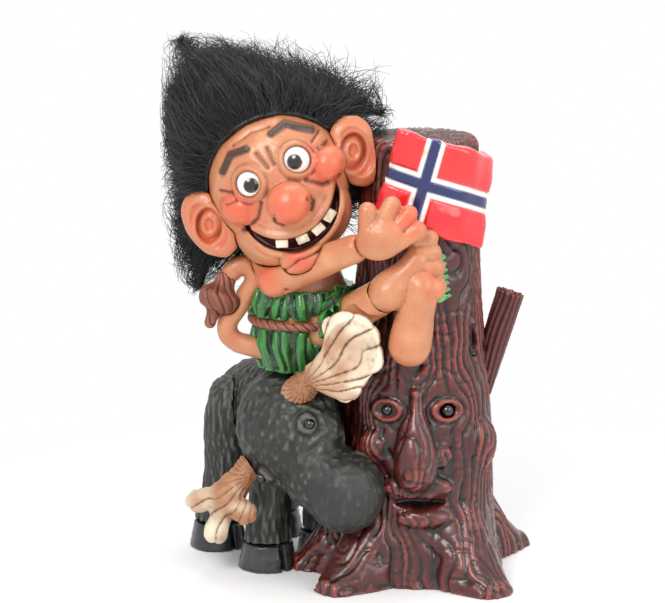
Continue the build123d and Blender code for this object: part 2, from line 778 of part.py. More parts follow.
def ruffle(frame, *levels):
    # A flared cloth with upright folds; each level gives its place on the frame's axis and two half widths.
    step = 360 / skirt_folds
    with BuildPart(mode=Mode.PRIVATE) as cloth:
        for place, half_width, half_depth in levels:
            rim = [((half_width + out) * cos(radians(turn)), (half_depth + out) * sin(radians(turn)))
                   for fold in range(skirt_folds)
                   for turn, out in ((step * fold, -skirt_fold), (step * (fold + 0.5), skirt_fold))]
            with BuildSketch(Plane(frame * Location((0, 0, place)))):
                with BuildLine():
                    for valley, crest, end in zip(rim[::2], rim[1::2], rim[2::2] + rim[:1]):
                        ThreePointArc(valley, crest, end)
                make_face()
        loft(ruled=True)
    return cloth.part


# Troll: raised foot against the stump, leg, arm and hand
face_seat = [skull(glue_gap), jaw(glue_gap), chin(glue_gap)]
foot_shape, toe_shape = foot_forms(), toe_forms()
with BuildPart() as troll_left_foot:
    join(foot_shape + toe_shape)
    clear([trunk_seat])
troll_left_foot.part.label = "troll_left_foot"
export_step(troll_left_foot.part, "parts/troll_left_foot.step")

foot_seat, toe_seat = foot_forms(glue_gap), toe_forms(glue_gap)
leg_shape = leg_form()
with BuildPart() as troll_left_leg:
    add(leg_shape)
    clear(foot_seat + torso_seat + antler_seat)
troll_left_leg.part.label = "troll_left_leg"
export_step(troll_left_leg.part, "parts/troll_left_leg.step")
leg_seat = leg_form(glue_gap)

hand_shape = hand_forms()
with BuildPart() as troll_right_hand:
    join(hand_shape)
    clear(foot_seat + toe_seat + [trunk_seat])
troll_right_hand.part.label = "troll_right_hand"
export_step(troll_right_hand.part, "parts/troll_right_hand.step")

palm_seat = hand_forms(glue_gap)[0]
arm_shape = arm_forms()
with BuildPart() as troll_right_arm:
    join(arm_shape)
    clear([palm_seat] + torso_seat + face_seat + foot_seat)
troll_right_arm.part.label = "troll_right_arm"
export_step(troll_right_arm.part, "parts/troll_right_arm.step")
arm_seat = arm_forms(glue_gap)


# Troll: tail, bent into an open loop, and its tuft
tail_shares = ((-0.29, -0.16, 0.21), (-1.0, -0.14, 0.42), (-0.50, -0.16, 1.16), (-0.70, -0.17, 1.39),
               (-0.89, -0.18, 1.13))
tail_points = [at(troll_frame, *[tail_reach * share for share in shares]) for shares in tail_shares]
tuft_start = tail_points[-1]
tuft_end = tuft_start + Vector(-tuft_length * 0.3, -tuft_length * 0.12, -tuft_length * 0.8)


def tuft_form(grow=0.0):
    return limb(tuft_start, tuft_end, tail_radius + grow, tuft_radius + grow, tuft_radius * 0.8 + grow,
                tuft_radius * 0.3 + grow)


def tail_tube(grow=0.0):
    with BuildPart(mode=Mode.PRIVATE) as tube:
        with BuildLine():
            bend = FilletPolyline(*tail_points, radius=[tail_radius * 1.6, tail_radius * 1.2, tail_radius * 1.2])
        with BuildSketch(bend ^ 0):
            Circle(tail_radius + grow)
        sweep()
    return tube.part


tuft_shape, tuft_seat = tuft_form(), tuft_form(glue_gap)
tail_shape, tail_seat = tail_tube(), tail_tube(glue_gap)
with BuildPart() as troll_tail:
    add(tail_shape)
    clear([tuft_seat] + torso_seat + arm_seat)
troll_tail.part.label = "troll_tail"
export_step(troll_tail.part, "parts/troll_tail.step")

with BuildPart() as tail_tuft:
    add(tuft_shape)
tail_tuft.part.label = "tail_tuft"
export_step(tail_tuft.part, "parts/tail_tuft.step")


# Clothes: rope belt between two rows of leaves
waist = troll_frame * Location((torso_width * 0.03, 0, 0))
belt_room = belt_radius + glue_gap
half_width, half_depth = skirt_width / 2, skirt_depth / 2
upper_shape = ruffle(
    waist, (belt_height + belt_room, half_width, half_depth * 0.95),
    (belt_height + belt_room + ruffle_height / 2, half_width * 1.1, half_depth * 1.06),
    (belt_height + belt_room + ruffle_height, half_width, half_depth * 0.95))
lower_shape = ruffle(
    waist, (belt_height - belt_room - skirt_drop, half_width * 0.8, half_depth * 0.82),
    (belt_height - belt_room - skirt_drop * 0.35, half_width, half_depth * 1.05),
    (belt_height - belt_room, half_width * 0.92, half_depth * 0.97))
knee_frame = Plane(origin=hip, z_dir=ankle - hip).location
leg_reach = (ankle - hip).length
flap_shape = ruffle(knee_frame, (leg_reach * 0.15, half_width * 0.5, half_width * 0.5),
                    (leg_reach * 0.6, half_width * 0.6, half_width * 0.6))

with BuildPart() as skirt_upper:
    add(upper_shape)
    clear(torso_seat + arm_seat + foot_seat + [leg_seat, tail_seat, trunk_seat])
skirt_upper.part.label = "skirt_upper"
export_step(skirt_upper.part, "parts/skirt_upper.step")

belt_place = waist * Location((0, 0, belt_height))
belt_round = half_width - belt_radius / 2
with BuildPart() as rope_belt:
    with Locations(belt_place):
        Torus(belt_round, belt_radius)
    clear(torso_seat + [leg_seat, tail_seat, trunk_seat])
rope_belt.part.label = "rope_belt"
export_step(rope_belt.part, "parts/rope_belt.step")

with BuildPart() as skirt_lower:
    add(lower_shape)
    clear(torso_seat + [leg_seat, tail_seat, trunk_seat, antler_seat[1]])
skirt_lower.part.label = "skirt_lower"
export_step(skirt_lower.part, "parts/skirt_lower.step")

# The part of the skirt that lies over the raised leg, outside the rows at the waist
with BuildPart() as skirt_flap:
    add(flap_shape)
    with Locations(waist):
        Cylinder(half_width * 1.1 + skirt_fold + glue_gap, torso_height * 3, mode=Mode.SUBTRACT)
    clear([leg_seat, trunk_seat, antler_seat[0]])
    add(skirt_flap.solids().sort_by(SortBy.VOLUME)[-1], mode=Mode.REPLACE)
skirt_flap.part.label = "skirt_flap"
export_step(skirt_flap.part, "parts/skirt_flap.step")


# Hair: hide glued to the skull, and the long pile in four masses
ear_seats = [ear_forms(side, glue_gap) for side in (1, -1)]
hairline = Plane(head_frame * Location((0, -head_depth * 0.2, head_height * 0.36), (-68, 0, 0)))
hide_shape = skull(hide_thickness + glue_gap)
with BuildPart() as hair_hide:
    add(hide_shape)
    split(bisect_by=hairline, keep=Keep.TOP)
    clear(face_seat[:2] + ear_seats + torso_seat)
hair_hide.part.label = "hair_hide"
export_step(hair_hide.part, "parts/hair_hide.step")

fur_shapes = [
    egg(head_frame * Location((-fur_width * 0.15, fur_depth * 0.45, fur_height * 0.3)),
        fur_width / 2, fur_depth / 2, fur_height / 2, troll_ball_turn),
    limb(at(head_frame, -fur_width * 0.09, fur_depth * 0.4, fur_height * 0.52),
         at(head_frame, -fur_width * 0.175, fur_depth * 0.35, fur_height * 0.9),
         lock_radius * 1.2, lock_radius, lock_radius * 0.3),
    limb(at(head_frame, -fur_width * 0.5, fur_depth * 0.4, fur_height * 0.06),
         at(head_frame, -fur_width * 0.84, fur_depth * 0.38, -fur_height * 0.3),
         lock_radius, lock_radius * 0.9, lock_radius * 0.3),
    limb(at(head_frame, fur_width * 0.34, fur_depth * 0.4, fur_height * 0.34),
         at(head_frame, fur_width * 0.76, fur_depth * 0.35, fur_height * 0.07),
         lock_radius * 0.9, lock_radius * 0.7, lock_radius * 0.3),
]
crown_seat = skull(hide_thickness + glue_gap * 2)
with BuildPart() as hair_fur:
    join(fur_shapes)
    clear([crown_seat, face_seat[1], trunk_seat, tuft_seat, tail_seat] + ear_seats + torso_seat)
hair_fur.part.label = "hair_fur"
export_step(hair_fur.part, "parts/hair_fur.step")
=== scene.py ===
import math

import bmesh
import bpy
import numpy as np
from mathutils import Matrix, Vector
from mathutils.kdtree import KDTree


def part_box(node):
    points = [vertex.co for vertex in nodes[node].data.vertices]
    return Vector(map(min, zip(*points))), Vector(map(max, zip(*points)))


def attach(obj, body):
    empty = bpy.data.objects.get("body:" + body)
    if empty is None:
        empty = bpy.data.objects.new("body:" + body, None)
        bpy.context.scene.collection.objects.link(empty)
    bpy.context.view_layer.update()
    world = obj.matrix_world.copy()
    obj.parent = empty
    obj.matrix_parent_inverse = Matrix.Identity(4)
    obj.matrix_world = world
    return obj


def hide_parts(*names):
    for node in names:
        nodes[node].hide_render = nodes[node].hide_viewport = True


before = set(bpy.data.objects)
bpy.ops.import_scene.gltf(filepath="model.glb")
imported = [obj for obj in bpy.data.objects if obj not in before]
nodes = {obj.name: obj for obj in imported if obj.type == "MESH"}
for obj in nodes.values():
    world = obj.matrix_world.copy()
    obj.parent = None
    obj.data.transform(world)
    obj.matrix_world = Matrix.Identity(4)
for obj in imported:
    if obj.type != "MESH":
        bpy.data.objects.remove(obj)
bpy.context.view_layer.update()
mm = 0.001
rng = np.random.default_rng(11)
print("frame loaded", len(nodes), "nodes")


# Fields over points, in millimetres

hashFactors = np.array([374761393, 668265263, 1274126177])


def latticeNoise(points, size, seed=0):
    place = points / size + seed * 17.31
    cell = np.floor(place).astype(np.int64)
    share = place - cell
    share = share * share * (3 - 2 * share)
    total = np.zeros(len(points))
    for corner in range(8):
        step = np.array([corner & 1, corner >> 1 & 1, corner >> 2 & 1])
        key = cell + step
        mixed = (key @ hashFactors + seed * 144665) & 0x7FFFFFFF
        mixed = (mixed ^ (mixed >> 13)) * 1103515245 & 0x7FFFFFFF
        mixed = mixed ^ (mixed >> 16)
        value = (mixed & 0xFFFF) / 32767.5 - 1
        weight = np.prod(np.where(step, share, 1 - share), axis=1)
        total += value * weight
    return total


def smoothStep(low, high, value):
    share = np.clip((value - low) / (high - low), 0, 1)
    return share * share * (3 - 2 * share)


def bell(value, width):
    return np.exp(-(value / width) ** 2)


def pathDistance(points, path):
    best = np.full(len(points), 1e9)
    for start, end in zip(path, path[1:]):
        start, end = np.array(start, float), np.array(end, float)
        run = end - start
        share = np.clip((points - start) @ run / (run @ run), 0, 1)
        best = np.minimum(best, np.linalg.norm(points - start - share[:, None] * run, axis=1))
    return best


def blendColours(low, high, share):
    # Each colour is one shade or a row for every point.
    share = np.clip(share, 0, 1)[:, None]
    return low * (1 - share) + high * share


def linear(red, green, blue):
    value = np.array([red, green, blue]) / 255
    return np.where(value <= 0.04045, value / 12.92, ((value + 0.055) / 1.055) ** 2.4)


# Meshes

def readPoints(mesh, field="co"):
    values = np.empty(len(mesh.vertices) * 3)
    mesh.vertices.foreach_get(field, values)
    return values.reshape(-1, 3)


def relax(mesh, points, rounds):
    edges = np.empty(len(mesh.edges) * 2, dtype=np.int64)
    mesh.edges.foreach_get("vertices", edges)
    first, second = edges[::2], edges[1::2]
    ends = np.concatenate([first, second])
    others = np.concatenate([second, first])
    count = np.maximum(np.bincount(ends, minlength=len(points)), 1)
    for _ in range(rounds):
        mean = np.stack([np.bincount(ends, weights=points[others, axis], minlength=len(points)) / count
                         for axis in range(3)], axis=1)
        points = points * 0.4 + mean * 0.6
    return points


def addTint(mesh, colours):
    layer = mesh.color_attributes.new("tint", "FLOAT_COLOR", "POINT")
    values = np.ones((len(mesh.vertices), 4))
    values[:, :3] = colours
    layer.data.foreach_set("color", values.ravel())


def showPiece(name, mesh, material, node):
    piece = bpy.data.objects.new(name, mesh)
    bpy.context.scene.collection.objects.link(piece)
    mesh.materials.clear()
    mesh.materials.append(material)
    mesh.shade_smooth()
    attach(piece, "root")
    if node:
        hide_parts(*([node] if isinstance(node, str) else node))
    return piece


def remeshed(mesh, voxel, rounds):
    mesh = mesh.copy()
    form = bmesh.new()
    form.from_mesh(mesh)
    bmesh.ops.remove_doubles(form, verts=form.verts, dist=1e-6)
    form.to_mesh(mesh)
    form.free()
    block = bpy.data.objects.new("block", mesh)
    bpy.context.scene.collection.objects.link(block)
    change = block.modifiers.new("voxels", "REMESH")
    change.mode = "VOXEL"
    change.voxel_size = voxel * mm
    graph = bpy.context.evaluated_depsgraph_get()
    fresh = bpy.data.meshes.new_from_object(block.evaluated_get(graph))
    bpy.data.objects.remove(block)
    fresh.attributes.remove(fresh.attributes["UVMap"]) if "UVMap" in fresh.attributes else None
    points = relax(fresh, readPoints(fresh), rounds)
    fresh.vertices.foreach_set("co", points.ravel())
    fresh.update()
    return fresh


def carvedPiece(node, material, settings, carve, colour, shape=None):
    mesh = remeshed(shape or nodes[node].data, settings["voxel"], settings["rounds"])
    points = readPoints(mesh) / mm
    normals = readPoints(mesh, "normal")
    points = points + normals * carve(points, normals)[:, None]
    calm = relax(mesh, points, settings.get("calm", 6))
    # How far each point stands out from its smoothed neighbours; several colours use it to paint highlight
    # on ridges and shade in hollows.
    cavity = np.sum((points - calm) * normals, axis=1)
    mesh.vertices.foreach_set("co", (points * mm).ravel())
    mesh.update()
    addTint(mesh, np.clip(colour(points, normals, cavity / settings.get("relief", 0.2)), 0, 1))
    piece = showPiece("look_" + node, mesh, material, node)
    print("carved", node, len(mesh.vertices))
    return piece


# Materials

class Shade:
    def __init__(self, tree, socket=None):
        self.tree, self.socket = tree, socket

    def node(self, kind, output, settings=None, **values):
        fresh = self.tree.nodes.new("ShaderNode" + kind)
        for key, value in (settings or {}).items():
            setattr(fresh, key, value)
        for key, value in values.items():
            self.feed(fresh.inputs[key.replace("_", " ")], value)
        return Shade(self.tree, fresh.outputs[output])

    def feed(self, socket, value):
        if isinstance(value, Shade):
            self.tree.links.new(value.socket, socket)
        else:
            socket.default_value = value

    def maths(self, operation, other):
        fresh = self.tree.nodes.new("ShaderNodeMath")
        fresh.operation = operation
        self.feed(fresh.inputs[0], self)
        self.feed(fresh.inputs[1], other)
        return Shade(self.tree, fresh.outputs[0])

    def __add__(self, other):
        return self.maths("ADD", other)

    def __mul__(self, other):
        return self.maths("MULTIPLY", other)

    __radd__, __rmul__ = __add__, __mul__


def backgroundRays(shade):
    # One for each ray that shows the background: straight, mirrored or through glass.
    rays = [shade.node("LightPath", "Is " + kind + " Ray")
            for kind in ("Camera", "Glossy", "Transmission")]
    return rays[0].maths("MAXIMUM", rays[1]).maths("MAXIMUM", rays[2])


def paintMaterial(name, rough, coat=0.0, grain=0.4, bump=0.15, mottle=0.3):
    material = bpy.data.materials.new(name)
    material.use_nodes = True
    shader = material.node_tree.nodes["Principled BSDF"]
    shader.inputs["Coat Weight"].default_value = coat
    shader.inputs["Coat Roughness"].default_value = 0.12
    paint = Shade(material.node_tree)
    tint = paint.node("Attribute", "Color", {"attribute_name": "tint"})
    place = paint.node("TexCoord", "Object")
    speck = paint.node("TexNoise", "Fac", Vector=place, Scale=1 / (grain * mm), Detail=4.0)
    washed = paint.node("VectorMath", "Vector", {"operation": "SCALE"}, Vector=tint,
                        Scale=speck * mottle + (1 - mottle / 2))
    paint.feed(shader.inputs["Base Color"], washed)
    paint.feed(shader.inputs["Roughness"], speck * 0.2 + (rough - 0.1))
    raised = paint.node("Bump", "Normal", Strength=bump, Distance=0.4 * mm, Height=speck)
    paint.feed(shader.inputs["Normal"], raised)
    return material


barkPaint = paintMaterial("barkPaint", 0.34, coat=0.35, grain=1.4, bump=0.25)
skinPaint = paintMaterial("skinPaint", 0.38, coat=0.2, grain=0.7, bump=0.3)
coatPaint = paintMaterial("coatPaint", 0.5, coat=0.05, grain=0.6, bump=0.6, mottle=0.7)
hoofPaint = paintMaterial("hoofPaint", 0.3, coat=0.3, grain=1.0, bump=0.1)
antlerPaint = paintMaterial("antlerPaint", 0.48, grain=0.9, bump=0.2)
leafPaint = paintMaterial("leafPaint", 0.26, coat=0.5, grain=1.2, bump=0.12)
glossPaint = paintMaterial("glossPaint", 0.14, coat=0.8, grain=1.0, bump=0.02)
flagPaint = paintMaterial("flagPaint", 0.18, coat=0.7, grain=2.0, bump=0.05)
furFibre = paintMaterial("furFibre", 0.42, grain=3.0, bump=0.0)
print("materials made")


# Stump

# The bark's colours include a painted highlight for the ridge tops and a painted shade for the furrows.
barkLook = {
    "voxel": 0.74, "rounds": 1, "calm": 9, "relief": 0.24, "furrows": 46, "depth": 1.6,
    "low": (60, 18, 14), "high": (88, 30, 24), "ridgeHighlight": (150, 66, 54), "grooveShade": (12, 5, 4),
    "stone": 7.0, "lipStone": 4.0, "lids": 1.1, "creaseDepth": 0.9, "mouthDepth": 1.8,
    "lipPlace": (-1, -33, 33),
    "mouth": [(-12, -30, 35.5), (-5, -32, 33), (4, -32, 32.4), (12, -30, 35.0)],
    "creases": [
        [(-7, -32, 60), (-12, -30, 50), (-13, -30, 41)], [(6, -32, 60), (11, -30, 50), (13, -30, 41)],
        [(-9, -32, 24), (0, -33, 21.5), (9, -32, 24)], [(-5, -27, 79), (-9, -26, 84), (-14, -23, 82)],
        [(3, -27, 79), (8, -26, 84), (14, -23, 81)], [(-4, -31, 57), (-1, -33, 55.5), (3, -31, 57)],
    ],
}
stumpEyes = [np.mean([np.array(corner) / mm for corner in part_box(name)], axis=0)
             for name in ("stump_eye_right", "stump_eye_left")]
beadRadius = (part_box("stump_eye_left")[1][2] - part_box("stump_eye_left")[0][2]) / mm / 2


def faceShare(points):
    across = (points[:, 0] + 1.0) / 21
    up = (points[:, 2] - 50) / 33
    inside = 1 - smoothStep(0.75, 1.15, np.sqrt(across ** 2 + up ** 2))
    return inside * (points[:, 1] < -8)


def barkRelief(points, look):
    # Furrows run up the trunk and part round the eyes, as water does round a stone.
    turn = np.arctan2(points[:, 1], points[:, 0])
    for eye, stone in [(eye, look["stone"]) for eye in stumpEyes] + [(look["lipPlace"], look["lipStone"])]:
        aside, up = points[:, 0] - eye[0], points[:, 2] - eye[2]
        far = np.maximum(aside ** 2 + up ** 2, stone ** 2)
        turn = turn - aside * stone ** 2 / far / 30 * (points[:, 1] < -8)
    bend = latticeNoise(points * [1, 1, 0.5], 15, 3) * 0.3
    bend += latticeNoise(points * [1, 1, 0.6], 6, 5) * 0.11
    wave = (turn + bend) * look["furrows"] / 2
    strength = 0.75 + latticeNoise(points * [1, 1, 0.3], 4.5, 13) * 0.6
    cross = smoothStep(0.35, 0.6, latticeNoise(points * [1, 1, 2.6], 5, 9))
    groove = (1 - np.abs(np.sin(wave))) ** 1.5 * look["depth"] * np.clip(strength, 0.15, 1.4)
    groove = groove + cross * 0.35
    return -groove + latticeNoise(points, 1.3, 2) * 0.12


def carveStump(points, normals):
    face = faceShare(points)
    side = smoothStep(0.2, 0.6, 1 - np.abs(normals[:, 2]))
    relief = barkRelief(points, barkLook) * (1 - face * 0.25) * (0.55 + 0.45 * side)
    for eye in stumpEyes:
        reach = np.linalg.norm((points - eye) * [0.78, 0.8, 1.15], axis=1)
        near = smoothStep(6.5, 5.0, reach)
        relief *= 1 - near * 0.9
        relief += barkLook["lids"] * bell(reach - 4.2, 0.9) - 0.7 * bell(reach - 5.9, 0.7)
        toBead = np.linalg.norm(points - eye, axis=1)
        relief -= 2.0 * smoothStep(beadRadius + 0.8, beadRadius - 0.4, toBead)  # room for the bead
    front = points[:, 1] < -15
    relief -= barkLook["mouthDepth"] * bell(pathDistance(points, barkLook["mouth"]), 1.5) * front
    for path in barkLook["creases"]:
        relief -= barkLook["creaseDepth"] * bell(pathDistance(points, path), 1.0)
    return relief


def barkColour(points, normals, cavity):
    low, high, ridgeHighlight, grooveShade = [linear(*barkLook[key]) for key in ("low", "high", "ridgeHighlight", "grooveShade")]
    base = blendColours(low, high, latticeNoise(points, 9, 4) * 0.5 + 0.5)
    # Painted highlight on the ridge tops, then painted shade deep in the furrows, both following the
    # carved relief.
    painted = blendColours(base, ridgeHighlight, smoothStep(0.5, 1.7, cavity) * 0.75)
    return blendColours(painted, grooveShade, smoothStep(-0.15, 0.75, -cavity) * 0.96)


carvedPiece("stump_trunk", barkPaint, barkLook, carveStump, barkColour)


branchLook = {"voxel": 0.42, "rounds": 1, "relief": 0.18, "radius": 5.0, "flare": 1.08, "length": 41.0,
              "base": (23.4, 1.6, 68.5), "lean": 17, "split": 4.5}
branchBase = np.array(branchLook["base"])
branchLean = math.radians(branchLook["lean"])
branchWay = np.array([math.sin(branchLean), 0.02, math.cos(branchLean)])


def branchForm():
    form = bmesh.new()
    turned = Vector((0, 0, 1)).rotation_difference(Vector(branchWay)).to_matrix().to_4x4()
    middle = Matrix.Translation(Vector((branchBase + branchWay * branchLook["length"] / 2) * mm))
    bmesh.ops.create_cone(form, cap_ends=True, segments=64, radius1=branchLook["radius"] * mm,
                          radius2=branchLook["radius"] * branchLook["flare"] * mm,
                          depth=branchLook["length"] * mm, matrix=middle @ turned)
    mesh = bpy.data.meshes.new("branch")
    form.to_mesh(mesh)
    form.free()
    return mesh


def carveBranch(points, normals):
    # Furrows along the stub, and a broken end with two points.
    away = points - branchBase
    along = away @ branchWay
    turn = np.arctan2(away[:, 1], away[:, 0] - along * branchWay[0])
    wave = turn * 6 + latticeNoise(points * [1, 1, 0.3], 7, 3) * 2.2
    bark = -((1 - np.abs(np.sin(wave))) ** 1.6) * 1.1 + latticeNoise(points, 1.5, 8) * 0.12
    end = smoothStep(0.5, 0.85, normals @ branchWay)
    aside = away[:, 0] - along * branchWay[0]
    broken = -branchLook["split"] * bell(aside - 0.8, 1.6) - 1.2
    broken -= np.abs(latticeNoise(points, 1.6, 15)) * 1.6
    return bark * (1 - end) + broken * end


carvedPiece("stump_branch", barkPaint, branchLook, carveBranch, barkColour, branchForm())


# Flag: the crossing bands are found from places along the fly and up the hoist

flagLook = {"voxel": 0.5, "rounds": 3, "turn": 272, "height": 153, "tilt": 17, "band": 3.8, "navy": 2.1,
            "relief": 0.18, "radius": 28.6, "reds": ((222, 26, 36), (240, 60, 60)),
            "white": (248, 246, 242), "gold": (214, 178, 110), "navyShade": (26, 36, 92)}


def flagPlaces(points):
    tilt = math.radians(flagLook["tilt"])
    turn = np.degrees(np.arctan2(points[:, 1], points[:, 0])) % 360
    around = np.radians(turn - flagLook["turn"]) * flagLook["radius"]
    rise = points[:, 2] - flagLook["height"]
    along = around * math.cos(tilt) - rise * math.sin(tilt)
    up = around * math.sin(tilt) + rise * math.cos(tilt)
    return along, up


def carveFlag(points, normals):
    along, up = flagPlaces(points)
    wave = np.sin(along * 0.42 + 0.8) * 0.5 + latticeNoise(points, 9, 4) * 0.35
    nearest = np.minimum(np.abs(along), np.abs(up))
    seam = bell(nearest - flagLook["band"], 0.5) * 0.45 + bell(nearest - flagLook["navy"], 0.35) * 0.25
    puff = smoothStep(4, 9, nearest) * 0.6
    return wave * 0.6 - seam + puff


def flagColour(points, normals, cavity):
    along, up = flagPlaces(points)
    nearest = np.minimum(np.abs(along), np.abs(up))
    deepRed, paleRed = [linear(*shade) for shade in flagLook["reds"]]
    red = blendColours(deepRed, paleRed, latticeNoise(points, 6, 2) * 0.5 + 0.3)
    worn = smoothStep(0.25, 0.7, latticeNoise(points, 3.5, 6)) * (along < 0) * 0.7
    white = blendColours(linear(*flagLook["white"]), linear(*flagLook["gold"]), worn)
    colours = blendColours(red, white, smoothStep(0.35, -0.35, nearest - flagLook["band"]))
    navy = linear(*flagLook["navyShade"])
    colours = blendColours(colours, navy, smoothStep(0.35, -0.35, nearest - flagLook["navy"]))
    # Painted shade darkens the flag in its recesses.
    return blendColours(colours, colours * 0.35, smoothStep(0.6, 2.2, -cavity))


carvedPiece("flag", flagPaint, flagLook, carveFlag, flagColour)


fernLook = {"voxel": 0.25, "rounds": 1, "relief": 0.1, "low": (60, 160, 70), "high": (140, 215, 120)}
carvedPiece("fern_sprig", leafPaint, fernLook,
            lambda points, normals: latticeNoise(points, 1.5, 3) * 0.1,
            lambda points, normals, cavity: blendColours(
                linear(*fernLook["low"]), linear(*fernLook["high"]),
                latticeNoise(points, 2, 3) * 0.5 + 0.4))
print("stump made")


# Moose

# The coat's colours include a painted highlight for the raised fur strokes.
coatLook = {
    "voxel": 0.68, "rounds": 3, "relief": 0.12, "calm": 5,
    "low": (24, 25, 24), "high": (42, 43, 40), "strokeHighlight": (104, 104, 94), "muzzle": (50, 55, 52),
    "muzzlePlace": (-27, -34, 34), "nostrilDepth": 2.0, "mouthDepth": 1.4,
    "nostrils": [[(-19, -44, 33), (-16, -44, 37), (-15, -41, 42)],
                 [(-36, -44, 30), (-34, -43, 25), (-31, -40, 21)]],
    "mouth": [(-40, -32, 23), (-30, -38, 18), (-19, -38, 19), (-12, -34, 26)],
}
mooseEyes = [(-42.0, -32.0, 64.8), (-60.6, -22.0, 38.5)]


def coatRelief(points, stretch):
    tuft = latticeNoise(points * stretch, 1.5, 21)
    small = latticeNoise(points * stretch, 0.9, 23)
    return tuft * 0.55 + small * 0.3 + latticeNoise(points, 8, 5) * 0.5


def carveCoat(points, normals):
    return coatRelief(points, np.array([1.0, 1.0, 0.28])) - 0.35


def coatColour(points, normals, cavity):
    low, high, strokeHighlight = [linear(*coatLook[key]) for key in ("low", "high", "strokeHighlight")]
    base = blendColours(low, high, latticeNoise(points, 7, 2) * 0.5 + 0.5)
    # Painted highlight on the raised fur strokes, then painted shade in the hollows between them.
    colours = blendColours(base, strokeHighlight, smoothStep(0.3, 1.6, cavity) * 0.75)
    return blendColours(colours, colours * 0.3, smoothStep(0.3, 1.5, -cavity))


def carveMooseHead(points, normals):
    muzzle = smoothStep(18, 12, np.linalg.norm(points - coatLook["muzzlePlace"], axis=1))
    relief = (coatRelief(points, np.array([0.55, 0.7, 0.4])) - 0.3) * (1 - muzzle * 0.45)
    for eye in mooseEyes:
        reach = np.linalg.norm(points - eye, axis=1)
        relief += 1.1 * bell(reach - 4.2, 1.1) - 0.7 * bell(reach - 6.2, 1.0)
    for path in coatLook["nostrils"]:
        relief -= coatLook["nostrilDepth"] * bell(pathDistance(points, path), 1.3)
    return relief - coatLook["mouthDepth"] * bell(pathDistance(points, coatLook["mouth"]), 1.1)


def mooseHeadColour(points, normals, cavity):
    colours = coatColour(points, normals, cavity)
    muzzle = smoothStep(20, 12, np.linalg.norm(points - coatLook["muzzlePlace"], axis=1))
    return blendColours(colours, linear(*coatLook["muzzle"]), muzzle * 0.4 * smoothStep(-1.5, 0, cavity))


carvedPiece("moose_body", coatPaint, coatLook, carveCoat, coatColour)
carvedPiece("moose_head", coatPaint, coatLook, carveMooseHead, mooseHeadColour)
hoofLook = {"voxel": 0.6, "rounds": 3, "relief": 0.2, "low": (28, 31, 33), "high": (62, 66, 68)}
for leg in ("front_right", "front_left", "hind_right", "hind_left"):
    carvedPiece("moose_leg_" + leg, coatPaint, coatLook, carveCoat, coatColour)
    carvedPiece("moose_hoof_" + leg, hoofPaint, hoofLook,
                lambda points, normals: latticeNoise(points * [1, 1, 2.5], 4, 6) * 0.25 - 0.2,
                lambda points, normals, cavity: blendColours(
                    linear(*hoofLook["low"]), linear(*hoofLook["high"]),
                    latticeNoise(points, 3, 3) * 0.4 + 0.3))


# The antler colours include a painted shade for the grooves between the ribs.
antlerLook = {
    "voxel": 0.45, "rounds": 3, "relief": 0.14, "calm": 6, "ribs": 13, "spread": 38,
    "root": (168, 116, 78), "palm": (236, 222, 196), "ribShade": (86, 46, 28),
    "roots": {"moose_antler_left": (-44.0, -26.0, 78.0), "moose_antler_right": (-62.0, -20.0, 40.0)},
}


def antlerCarver(root):
    def carve(points, normals):
        away = points - root
        around = np.arctan2(away[:, 2], away[:, 0]) + latticeNoise(points, 9, 31) * 0.14
        reach = np.linalg.norm(away, axis=1)
        rib = (1 - np.abs(np.sin(around * antlerLook["ribs"]))) ** 1.6
        return -rib * (0.35 + 0.55 * smoothStep(8, 26, reach)) + latticeNoise(points, 1.6, 33) * 0.22
    return carve


def antlerPainter(root):
    def colour(points, normals, cavity):
        reach = np.linalg.norm(points - root, axis=1) / antlerLook["spread"]
        share = smoothStep(0.2, 0.95, reach + latticeNoise(points, 5, 3) * 0.25)
        base = blendColours(linear(*antlerLook["root"]), linear(*antlerLook["palm"]), share)
        # Painted shade in the grooves between the ribs.
        return blendColours(base, linear(*antlerLook["ribShade"]), smoothStep(0.0, 1.2, -cavity) * 0.9)
    return colour


for name, root in antlerLook["roots"].items():
    root = np.array(root)
    carvedPiece(name, antlerPaint, antlerLook, antlerCarver(root), antlerPainter(root))
print("moose made")


# Troll: skin

headCentre = np.array([-51.0, -12.0, 150.0])
roll = math.radians(27)


def headPlace(lateral, depth, up):
    across = lateral * math.cos(roll) - up * math.sin(roll)
    return headCentre + [across, depth, lateral * math.sin(roll) + up * math.cos(roll)]


def facePlaces(points):
    # Places across and up the face, with the depth left out.
    away = points - headCentre
    lateral = away[:, 0] * math.cos(roll) + away[:, 2] * math.sin(roll)
    up = -away[:, 0] * math.sin(roll) + away[:, 2] * math.cos(roll)
    return np.stack([lateral, up], axis=1), smoothStep(-4, -10, away[:, 1])


skinLook = {"voxel": 0.5, "rounds": 3, "relief": 0.16, "calm": 7}
# The skin colours end with a painted shade for creases and hollows.
skinShades = {"low": (190, 124, 86), "high": (208, 146, 104), "warm": (190, 100, 70),
              "blush": (222, 82, 54), "creaseShade": (74, 34, 20)}
# The third of these colours is a painted shade for the crease round each eye.
browShade, mouthShade, lidShade = linear(34, 22, 18), linear(58, 12, 12), linear(70, 34, 22)
headLook = {"voxel": 0.56, "rounds": 3, "relief": 0.2, "calm": 9}
trollEyes = [headPlace(1.1 - 9.35, -19.2, 9.0), headPlace(1.1 + 9.35, -19.2, 9.0)]
browPaths = [[(-15.7, 16.8), (-10, 21.3), (-3.6, 20.8)], [(6.5, 21.5), (12.5, 22.3), (20.0, 15.5)]]
smilePath = [(-17.9, -3.0), (-2.3, -15.6), (19.8, -4.2)]
lowerLipPath = [smilePath[0], (-2.3, -21.6), smilePath[-1]]
headRidges = [(browPaths[0], 1.1, 1.2), (browPaths[1], 1.1, 1.2)]
